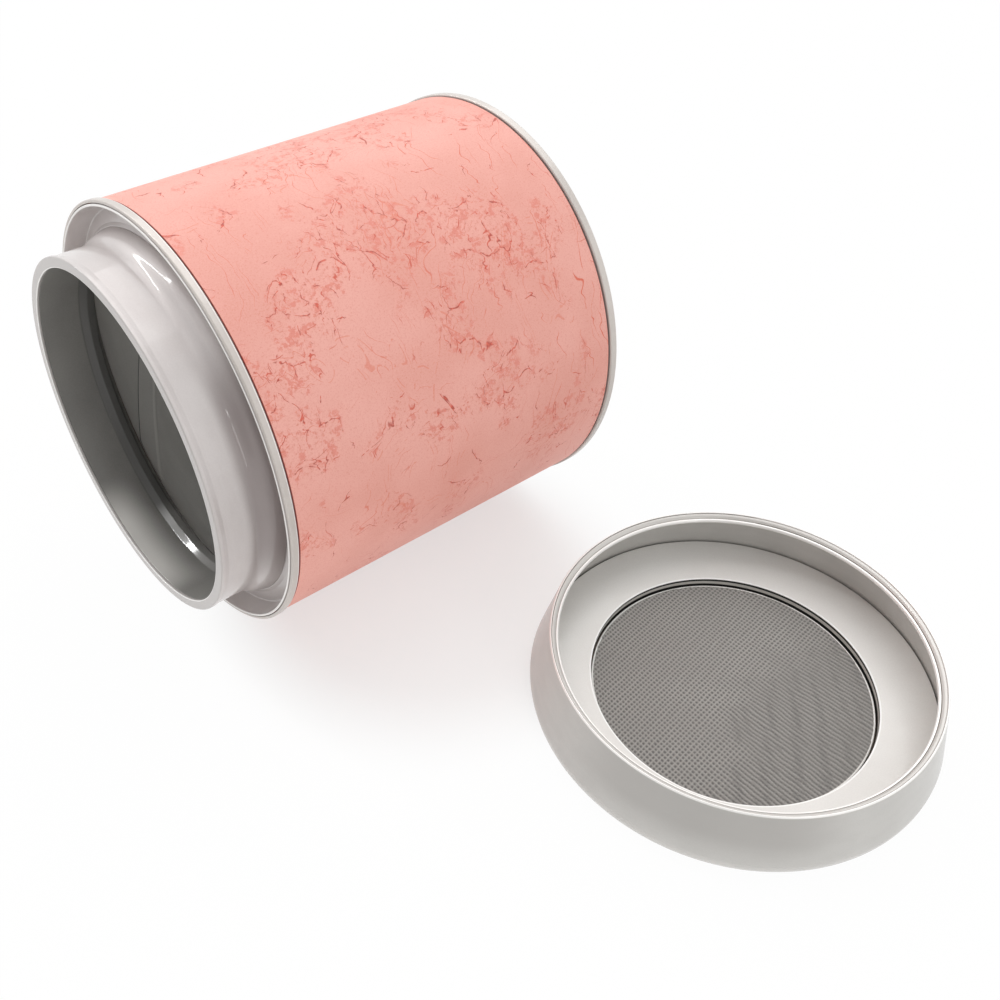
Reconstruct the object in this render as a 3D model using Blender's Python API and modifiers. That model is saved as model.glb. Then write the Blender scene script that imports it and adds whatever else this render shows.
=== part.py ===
"""A paper-covered cardboard tube with metal ends, and its metal lid.

Metres, +Z up. The tube lies on its side with its axis along X and its mouth towards -X. The lid
lies beside it on the -Y side, on its outer face with its open side up. The origin is on the floor,
under the middle of the box round both.

A turned piece is an outline of (radius, along) points. On the tube, along is the distance from the
paper's front edge towards the base, so the neck has negative values. On the lid, along is the
height above the floor.
"""

import math

import bpy

# Fit and fineness
GAP = 0.0003
ROUND_STEPS = 60
CORNER_STEPS = 4
ROUNDING_STEPS = 2
MERGE_DISTANCE = 0.00001
SHARP_ANGLE = math.radians(30)

# Tube wall: paper outside, board in the middle, a dark liner inside
WRAP_RADIUS = 0.0450
WRAP_THICKNESS = 0.0003
WRAP_LENGTH = 0.0793
BOARD_THICKNESS = 0.0020
LINER_THICKNESS = 0.0003

# Rim rings: a rounded metal band beyond each end of the paper
RING_PROUD = 0.0004
RING_THICKNESS = 0.0005
RING_ROUNDING = 0.00035
FRONT_RING_WIDTH = 0.0016
BASE_RING_WIDTH = 0.0018

# Neck collar: a pressed metal part with a groove round the neck, and the neck that the lid goes on
COLLAR_PROUD = 0.0002
COLLAR_EDGE = 0.0005
COLLAR_SHEET = 0.0003
GROOVE_DEPTH = 0.0044
GROOVE_LEAN = 0.0010
GROOVE_WIDTH = 0.0055
GROOVE_FLOOR_RISE = 0.00115
GROOVE_FLOOR_BAND = 0.0009
NECK_FILLET = 0.0018
NECK_REACH = 0.0126
NECK_WALL = 0.0011
LIP_PROUD = 0.0002
LIP_LENGTH = 0.0010
LIP_DEPTH = 0.0007
LIP_ROUNDING = 0.0004
LIP_BORE_ROUNDING = 0.00025

# Neck sleeve: a dark lining inside the neck, with a flared foot
SLEEVE_THICKNESS = 0.0006
SLEEVE_FOOT_THICKNESS = 0.0003

# Base: a recessed metal plate, with a card disc behind it
BASE_RECESS = 0.0029
PLATE_SHEET = 0.0006
PLATE_RIM_WALL = 0.0008
PLATE_RIM_INSET = 0.0001
PLATE_ROUNDING = 0.0003
CARD_THICKNESS = 0.0013

# Lid: a pressed metal shell with a rolled rim, a step ring on its floor and a grained pad in the
# ring, on a backing board
LID_CLEARANCE = 0.0001
LID_HEIGHT = 0.0168
LID_SHEET = 0.0005
LID_RIM_WIDTH = 0.0020
LID_RIM_DROP = 0.0013
LID_RIM_DEPTH = 0.0019
LID_RIM_ROUNDING = 0.0005
LID_FLARE = 0.0029
LID_STRAIGHT = 0.0005
LID_CORNER = 0.0041
BACKING_THICKNESS = 0.0009
PAD_THICKNESS = 0.0010
PAD_SINK = 0.0019
STEP_RING_WIDTH = 0.0119
STEP_RING_FALL = 0.0004

# Place of the lid beside the tube
LID_ALONG = 0.0701
LID_SIDE_GAP = 0.0115

# Radii and places that follow, on the tube
WRAP_BORE = WRAP_RADIUS - WRAP_THICKNESS
BOARD_RADIUS = WRAP_BORE - GAP
BOARD_BORE = BOARD_RADIUS - BOARD_THICKNESS
LINER_RADIUS = BOARD_BORE - GAP
LINER_BORE = LINER_RADIUS - LINER_THICKNESS
RING_RADIUS = WRAP_RADIUS + RING_PROUD
RING_BORE = RING_RADIUS - RING_THICKNESS
FRONT_RING_END = -GAP
FRONT_RING_START = FRONT_RING_END - FRONT_RING_WIDTH
COLLAR_EDGE_RADIUS = RING_BORE - GAP
COLLAR_START = FRONT_RING_START - COLLAR_PROUD
CREASE_RADIUS = COLLAR_EDGE_RADIUS - COLLAR_EDGE - GROOVE_LEAN
CREASE = COLLAR_START + GROOVE_DEPTH
GROOVE_FLOOR = CREASE - GROOVE_FLOOR_RISE
NECK_RADIUS = CREASE_RADIUS - GROOVE_WIDTH
NECK_BORE = NECK_RADIUS - NECK_WALL
FILLET_RADIUS = NECK_RADIUS + NECK_FILLET
FILLET_CENTRE = GROOVE_FLOOR - NECK_FILLET
SLEEVE_BORE = NECK_BORE - GAP - SLEEVE_THICKNESS
LIP_RADIUS = NECK_RADIUS + LIP_PROUD
NECK_START = -NECK_REACH
LIP_BACK = NECK_START + LIP_DEPTH
WALL_START = CREASE + COLLAR_SHEET + GAP
BASE_RING_START = WRAP_LENGTH + GAP
BASE_RING_END = BASE_RING_START + BASE_RING_WIDTH
PLATE_END = BASE_RING_END - PLATE_RIM_INSET
PLATE_FACE = PLATE_END - BASE_RECESS
PLATE_BACK = PLATE_FACE - PLATE_SHEET
WALL_END = PLATE_BACK - GAP

# Radii and heights that follow, on the lid
LID_MOUTH_RADIUS = LIP_RADIUS + LID_CLEARANCE
LID_RIM_RADIUS = LID_MOUTH_RADIUS + LID_RIM_WIDTH
LID_RADIUS = LID_RIM_RADIUS + LID_FLARE
LID_FLAT_RADIUS = LID_RADIUS - LID_CORNER
LID_SHOULDER = LID_CORNER + LID_STRAIGHT
LID_INNER_CORNER = LID_CORNER - LID_SHEET
RIM_UNDERSIDE = LID_HEIGHT - LID_RIM_DEPTH
WALL_SLOPE_SHARE = LID_FLARE / (LID_HEIGHT - LID_RIM_ROUNDING - LID_SHOULDER)
RIM_FOOT_RADIUS = LID_RADIUS - (RIM_UNDERSIDE - LID_SHOULDER) * WALL_SLOPE_SHARE - LID_SHEET
BACKING_BOTTOM = LID_SHEET + GAP
BACKING_TOP = BACKING_BOTTOM + BACKING_THICKNESS
PAD_BOTTOM = BACKING_TOP + GAP
PAD_TOP = PAD_BOTTOM + PAD_THICKNESS
STEP_RING_BORE_TOP = PAD_TOP + PAD_SINK
STEP_RING_TOP = STEP_RING_BORE_TOP + STEP_RING_FALL
STEP_RING_RADIUS = LID_RADIUS - (STEP_RING_TOP - LID_SHOULDER) * WALL_SLOPE_SHARE - LID_SHEET - GAP
STEP_RING_BORE = STEP_RING_RADIUS - STEP_RING_WIDTH

# The floor, the box round both parts, and the two places in it
LID_SIDE = -(RING_RADIUS + LID_SIDE_GAP + LID_RADIUS)
MIDDLE_X = (NECK_START + max(BASE_RING_END, LID_ALONG + LID_RADIUS)) / 2
MIDDLE_Y = (LID_SIDE - LID_RADIUS + RING_RADIUS) / 2
TUBE_PLACE = (-MIDDLE_X, -MIDDLE_Y, RING_RADIUS)
LID_PLACE = (LID_ALONG - MIDDLE_X, LID_SIDE - MIDDLE_Y, 0)


for item in list(bpy.data.objects):
    bpy.data.objects.remove(item, do_unlink=True)
pieces = bpy.data.collections.new("cardboard_tube")
bpy.context.scene.collection.children.link(pieces)


def finish(name, srgb, roughness, metallic):
    """A plain finish; the colour is given as the eye sees it, 0 to 255."""
    material = bpy.data.materials.new(name)
    material.use_nodes = True
    shader = material.node_tree.nodes["Principled BSDF"]
    linear = [(value / 255) ** 2.2 for value in srgb]
    shader.inputs["Base Color"].default_value = (*linear, 1)
    shader.inputs["Roughness"].default_value = roughness
    shader.inputs["Metallic"].default_value = metallic
    return material


def arc(radius, along, half_radius, half_along, first, last, steps=CORNER_STEPS):
    """Points on part of an ellipse round (radius, along), from one angle to another in degrees.
    Angle 0 points away from the axis, and 90 towards greater along."""
    points = []
    for step in range(steps + 1):
        angle = math.radians(first + (last - first) * step / steps)
        points.append((radius + half_radius * math.cos(angle), along + half_along * math.sin(angle)))
    return points


def fillet(radius, along, size, first, last):
    return arc(radius, along, size, size, first, last)


def rounding(radius, along, size, first, last):
    """A small round edge, in few steps."""
    return arc(radius, along, size, size, first, last, ROUNDING_STEPS)


def signed_area(outline):
    total = 0
    for (radius, along), (next_radius, next_along) in zip(outline, outline[1:] + outline[:1]):
        total += radius * next_along - next_radius * along
    return total / 2


def turned(name, outline, material, axis):
    """Turns an outline about the Z axis of an empty. The sides' flats lie at the outline's radii,
    and one of them faces along X, so that a piece that lies on its side rests on a flat."""
    if signed_area(outline) > 0:
        outline = outline[::-1]
    half_turn = math.pi / ROUND_STEPS
    across = 1 / math.cos(half_turn)
    vertices = []
    for radius, along in outline:
        corner = radius * across
        vertices.append((corner * math.cos(half_turn), corner * math.sin(half_turn), along))
    edges = [(index, index + 1) for index in range(len(outline) - 1)]
    if outline[0][0] > 0:
        edges.append((len(outline) - 1, 0))
    mesh = bpy.data.meshes.new(name)
    mesh.from_pydata(vertices, edges, [])
    item = bpy.data.objects.new(name, mesh)
    pieces.objects.link(item)
    item.parent = axis
    screw = item.modifiers.new("turn", "SCREW")
    screw.axis = "Z"
    screw.steps = ROUND_STEPS
    screw.render_steps = ROUND_STEPS
    screw.use_merge_vertices = True
    screw.merge_threshold = MERGE_DISTANCE
    shade(item, material)
    return item


def shade(item, material):
    """Fixes the turned shape as a mesh, smooth round the turn and sharp at its corners."""
    evaluated = item.evaluated_get(bpy.context.evaluated_depsgraph_get())
    mesh = bpy.data.meshes.new_from_object(evaluated)
    item.modifiers.clear()
    item.data = mesh
    mesh.name = item.name
    mesh.materials.clear()
    mesh.materials.append(material)
    mesh.shade_smooth()
    mesh.set_sharp_from_angle(angle=SHARP_ANGLE)


def pipe(inner_radius, outer_radius, start, end):
    return [(inner_radius, start), (outer_radius, start), (outer_radius, end), (inner_radius, end)]


def disc(radius, start, end):
    return [(0, start), (radius, start), (radius, end), (0, end)]


def rim_ring(start, end):
    """A flat bore and a rounded outside."""
    side = RING_RADIUS - RING_ROUNDING
    return [
        (RING_BORE, start),
        *rounding(side, start + RING_ROUNDING, RING_ROUNDING, -90, 0),
        *rounding(side, end - RING_ROUNDING, RING_ROUNDING, 0, 90),
        (RING_BORE, end),
    ]


def collar_outline():
    """From the outer cylinder under the paper, round the back of the groove, up inside the neck,
    over the lip, down the neck, through the groove and round its mouth edge."""
    edge_rounding = COLLAR_EDGE / 2
    floor_band = FILLET_RADIUS + GROOVE_FLOOR_BAND
    return [
        (BOARD_RADIUS, -GAP),
        (BOARD_RADIUS, CREASE + COLLAR_SHEET),
        (CREASE_RADIUS, CREASE + COLLAR_SHEET),
        (floor_band, GROOVE_FLOOR + COLLAR_SHEET),
        *arc(FILLET_RADIUS, FILLET_CENTRE, NECK_FILLET + NECK_WALL, NECK_FILLET + COLLAR_SHEET, 90, 180),
        (NECK_BORE, LIP_BACK),
        (SLEEVE_BORE, LIP_BACK),
        *rounding(
            SLEEVE_BORE + LIP_BORE_ROUNDING, NECK_START + LIP_BORE_ROUNDING, LIP_BORE_ROUNDING, 180, 270
        ),
        *rounding(LIP_RADIUS - LIP_ROUNDING, NECK_START + LIP_ROUNDING, LIP_ROUNDING, 270, 360),
        (LIP_RADIUS, NECK_START + LIP_LENGTH),
        (NECK_RADIUS, NECK_START + LIP_LENGTH + LIP_PROUD),
        *fillet(FILLET_RADIUS, FILLET_CENTRE, NECK_FILLET, 180, 90),
        (floor_band, GROOVE_FLOOR),
        (CREASE_RADIUS, CREASE),
        *rounding(
            COLLAR_EDGE_RADIUS - edge_rounding, COLLAR_START + edge_rounding, edge_rounding, 180, 360
        ),
        (COLLAR_EDGE_RADIUS, -GAP),
    ]


def sleeve_outline():
    """A pipe inside the neck, behind the lip, whose foot flares out under the groove's floor."""
    outer_radius = NECK_FILLET + NECK_WALL + GAP
    outer_along = NECK_FILLET + COLLAR_SHEET + GAP
    start = LIP_BACK + GAP
    return [
        (NECK_BORE - GAP, start),
        *arc(FILLET_RADIUS, FILLET_CENTRE, outer_radius, outer_along, 180, 90),
        *arc(
            FILLET_RADIUS,
            FILLET_CENTRE,
            outer_radius + SLEEVE_THICKNESS,
            outer_along + SLEEVE_FOOT_THICKNESS,
            90,
            180,
        ),
        (SLEEVE_BORE, start),
    ]


def base_plate_outline():
    """A disc with a rim that stands up to the base ring's end."""
    rim_bore = BOARD_RADIUS - PLATE_RIM_WALL
    corner = PLATE_SHEET
    return [
        (0, PLATE_FACE),
        *rounding(rim_bore - corner, PLATE_FACE + corner, corner, 270, 360),
        *rounding(rim_bore + PLATE_ROUNDING, PLATE_END - PLATE_ROUNDING, PLATE_ROUNDING, 180, 90),
        *rounding(BOARD_RADIUS - PLATE_ROUNDING, PLATE_END - PLATE_ROUNDING, PLATE_ROUNDING, 90, 0),
        (BOARD_RADIUS, PLATE_BACK),
        (0, PLATE_BACK),
    ]


def lid_shell_outline():
    """The top sheet, which lies on the floor, the corner, the leaning wall and the rolled rim,
    whose upper side slopes down to the mouth."""
    mouth_rounding = LID_SHEET / 2
    mouth_height = LID_HEIGHT - LID_RIM_DROP
    return [
        (0, 0),
        *fillet(LID_FLAT_RADIUS, LID_CORNER, LID_CORNER, -90, 0),
        (LID_RADIUS, LID_SHOULDER),
        *rounding(LID_RIM_RADIUS - LID_RIM_ROUNDING, LID_HEIGHT - LID_RIM_ROUNDING, LID_RIM_ROUNDING, 0, 90),
        *rounding(LID_MOUTH_RADIUS + mouth_rounding, mouth_height, mouth_rounding, 135, 270),
        (RIM_FOOT_RADIUS, RIM_UNDERSIDE),
        (LID_RADIUS - LID_SHEET, LID_SHOULDER),
        *fillet(LID_FLAT_RADIUS, LID_CORNER, LID_INNER_CORNER, 0, -90),
        (0, LID_SHEET),
    ]


def step_ring_outline():
    """A ring on the backing board. Its outside follows the shell's inside, and its top falls a
    little towards the pad."""
    corner = LID_INNER_CORNER - GAP
    lowest = math.degrees(math.asin((PAD_BOTTOM - LID_CORNER) / corner))
    return [
        (STEP_RING_BORE, PAD_BOTTOM),
        *fillet(LID_FLAT_RADIUS, LID_CORNER, corner, lowest, 0),
        (STEP_RING_RADIUS, STEP_RING_TOP),
        (STEP_RING_BORE, STEP_RING_BORE_TOP),
    ]


def axis_empty(name, place, turn):
    empty = bpy.data.objects.new(name, None)
    empty.location = place
    empty.rotation_euler = turn
    pieces.objects.link(empty)
    return empty


# The tube's pieces are turned about its axis, whose Z axis is laid along +X
tube_axis = axis_empty("tube_axis", TUBE_PLACE, (0, math.radians(90), 0))

turned(
    "paper_wrap",
    pipe(WRAP_BORE, WRAP_RADIUS, 0, WRAP_LENGTH),
    finish("mottled_paper", (240, 175, 165), 0.6, 0),
    tube_axis,
)
turned(
    "board_tube",
    pipe(BOARD_BORE, BOARD_RADIUS, WALL_START, WALL_END),
    finish("grey_board", (150, 135, 120), 0.9, 0),
    tube_axis,
)
turned(
    "inner_liner",
    pipe(LINER_BORE, LINER_RADIUS, WALL_START, WALL_END),
    finish("dark_liner", (90, 88, 88), 0.5, 0),
    tube_axis,
)
turned(
    "front_rim_ring",
    rim_ring(FRONT_RING_START, FRONT_RING_END),
    finish("front_ring_metal", (215, 210, 205), 0.3, 1),
    tube_axis,
)
turned(
    "neck_collar",
    collar_outline(),
    finish("collar_metal", (205, 200, 198), 0.32, 1),
    tube_axis,
)
turned(
    "neck_sleeve",
    sleeve_outline(),
    finish("sleeve_lacquer", (85, 83, 84), 0.4, 0),
    tube_axis,
)
turned(
    "base_rim_ring",
    rim_ring(BASE_RING_START, BASE_RING_END),
    finish("base_ring_metal", (215, 212, 208), 0.3, 1),
    tube_axis,
)
turned(
    "base_plate",
    base_plate_outline(),
    finish("base_metal", (200, 197, 194), 0.35, 1),
    tube_axis,
)
turned(
    "base_card",
    disc(LINER_BORE - GAP, WALL_END - CARD_THICKNESS, WALL_END),
    finish("dark_card", (95, 92, 90), 0.7, 0),
    tube_axis,
)

# The lid's pieces stand on the floor, and lift along the axis of the lid
lid_lift = axis_empty("lid_lift", LID_PLACE, (0, 0, 0))

turned(
    "lid_shell",
    lid_shell_outline(),
    finish("lid_metal", (200, 196, 193), 0.33, 1),
    lid_lift,
)
turned(
    "lid_backing_board",
    disc(LID_FLAT_RADIUS, BACKING_BOTTOM, BACKING_TOP),
    finish("backing_card", (150, 140, 130), 0.9, 0),
    lid_lift,
)
turned(
    "lid_step_ring",
    step_ring_outline(),
    finish("step_ring_metal", (195, 188, 182), 0.4, 1),
    lid_lift,
)
turned(
    "lid_pad",
    disc(STEP_RING_BORE - GAP, PAD_BOTTOM, PAD_TOP),
    finish("grained_pad", (150, 148, 148), 0.6, 0),
    lid_lift,
)
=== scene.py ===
import math

import bmesh
import bpy
import numpy as np
from mathutils import Matrix, Vector


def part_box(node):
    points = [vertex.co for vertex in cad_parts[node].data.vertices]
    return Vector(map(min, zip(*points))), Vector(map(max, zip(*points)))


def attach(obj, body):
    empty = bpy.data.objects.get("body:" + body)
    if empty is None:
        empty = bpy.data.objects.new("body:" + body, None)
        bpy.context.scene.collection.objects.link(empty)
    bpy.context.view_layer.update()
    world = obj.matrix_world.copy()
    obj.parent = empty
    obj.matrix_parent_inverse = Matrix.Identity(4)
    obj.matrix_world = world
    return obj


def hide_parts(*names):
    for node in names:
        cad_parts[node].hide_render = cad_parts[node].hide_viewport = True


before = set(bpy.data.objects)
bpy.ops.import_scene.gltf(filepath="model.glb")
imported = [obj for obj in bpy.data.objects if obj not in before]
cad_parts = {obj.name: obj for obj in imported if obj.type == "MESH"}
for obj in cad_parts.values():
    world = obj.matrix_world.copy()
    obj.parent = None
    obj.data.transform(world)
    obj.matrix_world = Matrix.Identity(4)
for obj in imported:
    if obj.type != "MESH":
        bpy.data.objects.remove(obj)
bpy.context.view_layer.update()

# Sizes are in millimetres, and become metres where a mesh is made. Colours are given as the eye
# sees them, 0 to 255 a channel.


# Board tube: the stiff wall of the canister, rolled from grey board. Liner, paper, collar and base
# plate are all fixed to it, and nothing of it shows. The CAD solid is kept.


class Signal:
    """One socket of a finish. Each operator adds a Math node for it."""

    def __init__(self, finish, socket):
        self.finish = finish
        self.socket = socket

    def math(self, operation, first, second=0.0):
        return self.finish.node("ShaderNodeMath", {"operation": operation}, {0: first, 1: second})

    def __add__(self, other):
        return self.math("ADD", self, other)

    def __sub__(self, other):
        return self.math("SUBTRACT", self, other)

    def __rsub__(self, other):
        return self.math("SUBTRACT", other, self)

    def __mul__(self, other):
        return self.math("MULTIPLY", self, other)

    def __abs__(self):
        return self.math("ABSOLUTE", self)

    __radd__ = __add__
    __rmul__ = __mul__

    def wave(self):
        """The sine of the value."""
        return self.math("SINE", self)

    def step(self, low, high):
        """A smooth step from 0 at low to 1 at high. It falls where low is above high."""
        ends = {"Value": self, "From Min": low, "From Max": high}
        return self.finish.node("ShaderNodeMapRange", {"interpolation_type": "SMOOTHSTEP"}, ends)


class Finish:
    """The nodes of one material, or of the world."""

    def __init__(self, owner):
        owner.use_nodes = True
        owner.node_tree.nodes.clear()
        self.owner = owner
        self.tree = owner.node_tree

    def node(self, kind, settings, sockets, output=0):
        """Adds a node of that kind with its settings, then its sockets' values or links, and
        returns one of its outputs."""
        node = self.tree.nodes.new(kind)
        for name, value in settings.items():
            setattr(node, name, value)
        for name, value in sockets.items():
            if isinstance(value, Signal):
                self.tree.links.new(value.socket, node.inputs[name])
            else:
                node.inputs[name].default_value = value
        return Signal(self, node.outputs[output]) if node.outputs else node

    def spot(self):
        """The place on the piece, in millimetres."""
        return self.scaled(self.node("ShaderNodeTexCoord", {}, {}, "Object"), (1000, 1000, 1000))

    def vector(self, operation, first, second=(0, 0, 0), output=0):
        """One Vector Math node."""
        sockets = {0: first, 1: second}
        return self.node("ShaderNodeVectorMath", {"operation": operation}, sockets, output)

    def scaled(self, place, factors):
        """A place with each of its three parts times a factor."""
        return self.vector("MULTIPLY", place, factors)

    def from_line(self, place, centre, across):
        """The distance from a line through centre. across is 1 in the two directions square to
        the line."""
        flat = self.scaled(self.vector("SUBTRACT", place, centre), across)
        return self.vector("LENGTH", flat, output="Value")

    def faces(self, place, centre, across, towards):
        """The cosine between a direction and the way from that line to the place."""
        flat = self.scaled(self.vector("SUBTRACT", place, centre), across)
        return self.vector("DOT_PRODUCT", self.vector("NORMALIZE", flat), towards, "Value")

    def part(self, place, axis):
        """One part of a place: X, Y or Z."""
        return self.node("ShaderNodeSeparateXYZ", {}, {0: place}, axis)

    def noise(self, place, per_mm, detail=2.0, roughness=0.5):
        """Cloudy noise round 0.5, with that many lumps in a millimetre."""
        sockets = {"Vector": place, "Scale": per_mm, "Detail": detail, "Roughness": roughness}
        return self.node("ShaderNodeTexNoise", {}, sockets)

    def mix(self, share, first, second):
        """The first colour, and the second where share is 1."""
        sockets = {0: share, 6: first, 7: second}
        return self.node("ShaderNodeMix", {"data_type": "RGBA"}, sockets, 2)

    def bump(self, height, depth):
        """A normal for a relief that is depth high, in millimetres, where height is 1."""
        return self.node("ShaderNodeBump", {}, {"Height": height, "Distance": depth / 1000})

    def skin(self, sockets):
        """Ends the nodes in a Principled shader with these socket values."""
        shader = self.node("ShaderNodeBsdfPrincipled", {}, sockets)
        self.node("ShaderNodeOutputMaterial", {}, {"Surface": shader})
        return self.owner


def colour(red, green, blue):
    """A colour as the eye sees it, as the linear colour that a socket takes."""
    shares = (value / 255 for value in (red, green, blue))
    return (*(s / 12.92 if s < 0.0405 else ((s + 0.055) / 1.055) ** 2.4 for s in shares), 1.0)


def card(name, tone, fleck):
    """Uncoated board: cloudy, with short fibre flecks and a felt-like surface."""
    board = Finish(bpy.data.materials.new(name))
    spot = board.spot()
    fibres = board.noise(board.scaled(spot, (0.35, 2.2, 2.2)), 1.0, 3.0, 0.6)
    clouds = board.noise(spot, 0.15, 3.0, 0.6)
    base = board.mix(clouds.step(0.35, 0.65) * 0.5, tone, fleck)
    return board.skin({
        "Base Color": board.mix(fibres.step(0.56, 0.66) * 0.6, base, fleck),
        "Roughness": 0.92 - 0.1 * clouds,
        "Normal": board.bump(fibres, 0.05),
    })


def refinish(node, material):
    """Gives a CAD node that is kept its finish."""
    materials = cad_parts[node].data.materials
    materials.clear()
    materials.append(material)


refinish("board_tube", card("grey_board", colour(150, 135, 120), colour(122, 108, 95)))


# Inner liner: a grey paper strip, wound as a spiral and glued inside the board tube, whose shade
# makes it look dark. The edge of one turn shows as a slanting line, and its other side as a soft
# ridge 5 mm further in.

AROUND = 360
LINER_RADIUS = 42.1
LINER_BORE = 41.8
WALL_FRONT = 2.9
WALL_BACK = 77.5
LAP_WIDTH = 4.9
LAP_RIDGE = 4.2
LAP_PROUD = 0.13
LAP_FIRST_TURN = -57.5
LAP_LAST_TURN = 221.5
LAP_PER_DEGREE = 0.282
LAP_OFFSET = 14.82
LINER_TONE = (196, 194, 190)

wrap_low, wrap_high = (Vector(corner) * 1000 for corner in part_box("paper_wrap"))
TUBE_FRONT = wrap_low.x
TUBE_Y = (wrap_low.y + wrap_high.y) / 2
TUBE_Z = (wrap_low.z + wrap_high.z) / 2


def on_tube(radius, turn, along):
    """Points about the tube's axis. Turn 0 is towards +Y and a quarter turn is up, and along is the
    distance from the paper's front edge towards the base."""
    across = TUBE_Y + radius * np.cos(turn)
    up = TUBE_Z + radius * np.sin(turn)
    return np.stack(np.broadcast_arrays(TUBE_FRONT + along, across, up), -1)


def rounded(corners, turn=12.0, guard=0.1, reach=4.0):
    """Outline points for corners (radius, along, rounding). A corner's rounding becomes an arc that
    touches both its sides, with a point every turn degrees. Each longer side gets a point close to
    either end, so that smooth shading stays flat between them, and points at most reach apart."""
    corners = np.array(corners, float)
    spots, sizes = corners[:, :2], corners[:, 2]
    arcs = []
    for index, (spot, size) in enumerate(zip(spots, sizes)):
        if size == 0:
            arcs.append(spot[None])
            continue
        sides = np.stack([spots[index - 1] - spot, spots[(index + 1) % len(spots)] - spot])
        sides /= np.linalg.norm(sides, axis=1)[:, None]
        half = math.acos(np.clip(sides[0] @ sides[1], -1, 1)) / 2
        middle = sides.sum(0) / np.linalg.norm(sides.sum(0)) * size / math.sin(half)
        first, last = sides * size / math.tan(half) - middle
        sweep = math.pi - 2 * half
        share = np.linspace(0, 1, max(2, math.ceil(math.degrees(sweep) / turn)) + 1)[:, None]
        swept = np.sin((1 - share) * sweep) * first + np.sin(share * sweep) * last
        arcs.append(spot + middle + swept / math.sin(sweep))
    outline = []
    for index, bend in enumerate(arcs):
        outline.append(bend)
        if index == len(arcs) - 1 and spots[0][0] == 0:
            break
        start, end = bend[-1], arcs[(index + 1) % len(arcs)][0]
        length = np.linalg.norm(end - start)
        if length > 5 * guard:
            inner = np.linspace(guard, length - guard, max(2, math.ceil(length / reach) + 1))
            outline.append(start + (end - start) * inner[:, None] / length)
    outline = np.concatenate(outline)
    apart = np.linalg.norm(outline - np.roll(outline, 1, axis=0), axis=1)
    return outline[apart > 1e-6]


def arc(radius, along, half_radius, half_along, first, last, steps=14):
    """Corners with no rounding on part of an ellipse round (radius, along). Angle 0 points away
    from the axis and 90 degrees towards greater along."""
    angles = np.radians(np.linspace(first, last, steps + 1))
    points = radius + half_radius * np.cos(angles), along + half_along * np.sin(angles)
    return np.stack([*points, np.zeros(steps + 1)], -1).tolist()


def leaning(radius, knots, step=0.12):
    """Corners with no rounding along a sheet that starts at that radius. Its lean from the axis, in
    degrees, changes evenly from each knot (along, lean) to the next."""
    knots = np.array(knots, float)
    along = np.linspace(knots[0, 0], knots[-1, 0], round((knots[-1, 0] - knots[0, 0]) / step) + 1)
    slope = np.tan(np.radians(np.interp(along, *knots.T)))
    rise = (slope[1:] + slope[:-1]) / 2 * np.diff(along)
    return np.stack([radius + np.append(0, np.cumsum(rise)), along, 0 * along], -1).tolist()


def solid(name, points, quads, uvs, material):
    """A piece from points in millimetres, quads and a UV place for each corner of each quad. The
    quads are turned round if their solid would have a negative volume."""
    corners = points[quads]
    volume = np.einsum("ij,ij->", corners[:, 0], np.cross(corners[:, 1], corners[:, 2]))
    volume += np.einsum("ij,ij->", corners[:, 0], np.cross(corners[:, 2], corners[:, 3]))
    if volume < 0:
        quads, uvs = quads[:, ::-1], uvs[:, ::-1]
    mesh = bpy.data.meshes.new(name)
    mesh.from_pydata((points / 1000).tolist(), [], quads.tolist())
    mesh.uv_layers.new(name="UVMap").data.foreach_set("uv", uvs.ravel())
    mesh.materials.append(material)
    item = bpy.data.objects.new(name, mesh)
    bpy.context.scene.collection.objects.link(item)
    return item


def smooth(item, sharp=40):
    """Merges poles, closes open ends, and shades smooth but for edges sharper than that many
    degrees."""
    mesh = bmesh.new()
    mesh.from_mesh(item.data)
    bmesh.ops.remove_doubles(mesh, verts=mesh.verts, dist=1e-7)
    bmesh.ops.holes_fill(mesh, edges=[edge for edge in mesh.edges if edge.is_boundary], sides=0)
    mesh.to_mesh(item.data)
    mesh.free()
    item.data.shade_smooth()
    item.data.set_sharp_from_angle(angle=math.radians(sharp))
    return item


def looped(name, points, down, across, material):
    """A piece from a grid of points whose rows are closed loops. The last row joins the first where
    down has one value more than there are rows. The UV map holds, for each point, its column's
    value in across and its row's value in down."""
    count, around = points.shape[:2]
    rows, columns = np.arange(len(down) - 1)[:, None], np.arange(around)[None]
    quads, uvs = [], []
    for below, beside in [(0, 0), (0, 1), (1, 1), (1, 0)]:
        quads.append((rows + below) % count * around + (columns + beside) % around)
        uv = np.broadcast_arrays(across[columns + beside], down[rows + below])
        uvs.append(np.stack(uv, -1))
    quads, uvs = np.stack(quads, -1).reshape(-1, 4), np.stack(uvs, 2).reshape(-1, 4, 2)
    return smooth(solid(name, points.reshape(-1, 3), quads, uvs, material))


def turned(name, outline, place, material, turns=None, shaped=None):
    """Carries an outline (radius, along) round an axis: at turn a, its points lie radius times
    cosine a and sine a from the axis. An outline that starts on the axis has a pole at either end,
    and any other is a closed loop. shaped may change radius and along with the turn. The UV map
    holds the millimetres round, at the widest point, and along the outline."""
    outline = np.array(outline)
    if turns is None:
        turns = np.arange(AROUND) * 2 * np.pi / AROUND
    radius, along = (np.repeat(part[:, None], len(turns), 1) for part in outline.T)
    if shaped:
        radius, along = shaped(radius, along, turns[None])
    points = place(radius, turns[None], along)
    lengths = np.linalg.norm(np.diff(outline, axis=0, append=outline[:1]), axis=1)
    travelled = np.concatenate([[0], np.cumsum(lengths)])
    if outline[0][0] == 0:
        travelled = travelled[:-1]
    round_length = np.append(turns, turns[0] + 2 * np.pi) * outline[:, 0].max()
    return looped(name, points, travelled, round_length, material)


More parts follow.
